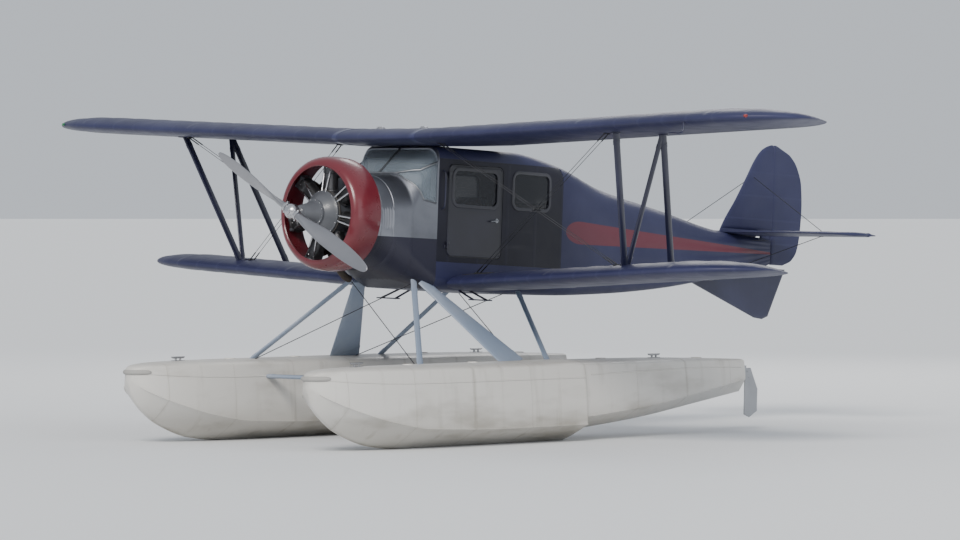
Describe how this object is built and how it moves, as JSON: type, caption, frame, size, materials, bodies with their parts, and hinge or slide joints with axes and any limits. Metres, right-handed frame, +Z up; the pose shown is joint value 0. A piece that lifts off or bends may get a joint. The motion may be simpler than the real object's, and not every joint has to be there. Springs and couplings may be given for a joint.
{
  "type": "cabin biplane on twin floats",
  "caption": "Single-engine cabin biplane on twin floats, with a ring cowl, N-shaped interplane struts, doors, rudders, ailerons and elevator that move.",
  "frame": {"origin": "middle of the bounding box, on the plane under the float keels", "axes": "+X towards the nose, +Y to port, +Z up; the thrust line rises 3 degrees towards the nose"},
  "size_m": [8.7004, 10.1136, 3.238],
  "materials": {
    "airframe_blue": "gloss",
    "door_blue": "gloss",
    "strut_blue": "gloss",
    "nose_metal": "satin",
    "cowl_red": "gloss",
    "glass": "polished",
    "engine_metal": "satin",
    "propeller_metal": "satin",
    "float_white": "satin",
    "strut_grey": "satin",
    "water_rudder_metal": "satin",
    "wire_steel": "satin",
    "seat_leather": "satin",
    "panel_black": "matte"
  },
  "bodies": {
    "airframe": {"upper_wing_port": "airframe_blue", "upper_wing_starboard": "airframe_blue", "lower_wing_port": "airframe_blue", "lower_wing_starboard": "airframe_blue", "wing_centre_section": "airframe_blue", "cabin_side_port": "airframe_blue", "cabin_side_starboard": "airframe_blue", "cabin_floor": "airframe_blue", "cabin_roof": "airframe_blue", "rear_fuselage": "airframe_blue", "stabiliser": "airframe_blue", "fin": "airframe_blue", "interplane_strut_port": "strut_blue", "interplane_strut_starboard": "strut_blue", "ventral_fin": "strut_blue", "nose_shell": "nose_metal", "screen_frame": "nose_metal", "cowl_ring": "cowl_red", "windscreen": "glass", "cabin_window_port": "glass", "cabin_window_starboard": "glass", "engine": "engine_metal", "float_port": "float_white", "float_starboard": "float_white", "float_strut_front_port": "strut_grey", "float_strut_front_starboard": "strut_grey", "float_strut_diagonal_port": "strut_grey", "float_strut_diagonal_starboard": "strut_grey", "float_strut_rear_port": "strut_grey", "float_strut_rear_starboard": "strut_grey", "spreader_front": "strut_grey", "spreader_rear": "strut_grey", "stay_wires_port": "wire_steel", "stay_wires_starboard": "wire_steel", "front_seat_port": "seat_leather", "front_seat_starboard": "seat_leather", "rear_bench": "seat_leather", "instrument_panel": "panel_black", "control_column": "panel_black"},
    "propeller": {"propeller": "propeller_metal"},
    "door_port": {"cabin_door_port": "door_blue", "door_glass_port": "glass"},
    "door_starboard": {"cabin_door_starboard": "door_blue", "door_glass_starboard": "glass"},
    "aileron_upper_port": {"upper_aileron_port": "airframe_blue"},
    "aileron_upper_starboard": {"upper_aileron_starboard": "airframe_blue"},
    "aileron_lower_port": {"lower_aileron_port": "airframe_blue"},
    "aileron_lower_starboard": {"lower_aileron_starboard": "airframe_blue"},
    "elevator": {"elevator": "airframe_blue"},
    "rudder": {"rudder": "airframe_blue"},
    "water_rudder_port": {"water_rudder_port": "water_rudder_metal"},
    "water_rudder_starboard": {"water_rudder_starboard": "water_rudder_metal"}
  },
  "joints": [
    {"name": "propeller_spin", "type": "hinge", "parent": "airframe", "child": "propeller", "pos_m": [3.352, 0, 2.27], "axis": [0.9986, 0, 0.0523], "continuous": true},
    {"name": "door_port_hinge", "type": "hinge", "parent": "airframe", "child": "door_port", "pos_m": [1.72024, 0.539, 2.18448], "axis": [0.0523, 0, -0.9986], "range_deg": [0, 60]},
    {"name": "door_starboard_hinge", "type": "hinge", "parent": "airframe", "child": "door_starboard", "pos_m": [1.72024, -0.539, 2.18448], "axis": [-0.0523, 0, 0.9986], "range_deg": [0, 60]},
    {"name": "aileron_upper_port_hinge", "type": "hinge", "parent": "airframe", "child": "aileron_upper_port", "pos_m": [1.1449, 1.99803, 3.01669], "axis": [-0.0021, 0.9992, 0.0401], "range_deg": [-24, 24]},
    {"name": "aileron_lower_port_hinge", "type": "hinge", "parent": "airframe", "child": "aileron_lower_port", "pos_m": [0.61873, 1.89678, 1.59211], "axis": [-0.0028, 0.9985, 0.054], "range_deg": [-24, 24]},
    {"name": "aileron_upper_starboard_hinge", "type": "hinge", "parent": "airframe", "child": "aileron_upper_starboard", "pos_m": [1.1449, -1.99803, 3.01669], "axis": [0.0021, 0.9992, -0.0401], "range_deg": [-24, 24]},
    {"name": "aileron_lower_starboard_hinge", "type": "hinge", "parent": "airframe", "child": "aileron_lower_starboard", "pos_m": [0.61873, -1.89678, 1.59211], "axis": [0.0028, 0.9985, -0.054], "range_deg": [-24, 24]},
    {"name": "elevator_hinge", "type": "hinge", "parent": "airframe", "child": "elevator", "pos_m": [-3.62341, 0, 1.99957], "axis": [0, 1, 0], "range_deg": [-22, 26]},
    {"name": "rudder_hinge", "type": "hinge", "parent": "airframe", "child": "rudder", "pos_m": [-3.85907, 0, 2.29263], "axis": [-0.0523, 0, 0.9986], "range_deg": [-25, 25]},
    {"name": "water_rudder_port_hinge", "type": "hinge", "parent": "airframe", "child": "water_rudder_port", "pos_m": [-1.918, 1.24, 0.62], "axis": [0, 0, 1], "range_deg": [-25, 25]},
    {"name": "water_rudder_starboard_hinge", "type": "hinge", "parent": "airframe", "child": "water_rudder_starboard", "pos_m": [-1.918, -1.24, 0.62], "axis": [0, 0, 1], "range_deg": [-25, 25]}
  ],
  "couplings": [
    {"joint": "aileron_lower_port_hinge", "follows": "aileron_upper_port_hinge", "ratio": 1},
    {"joint": "aileron_upper_starboard_hinge", "follows": "aileron_upper_port_hinge", "ratio": -1},
    {"joint": "aileron_lower_starboard_hinge", "follows": "aileron_upper_port_hinge", "ratio": -1},
    {"joint": "water_rudder_port_hinge", "follows": "rudder_hinge", "ratio": 1},
    {"joint": "water_rudder_starboard_hinge", "follows": "rudder_hinge", "ratio": 1}
  ]
}
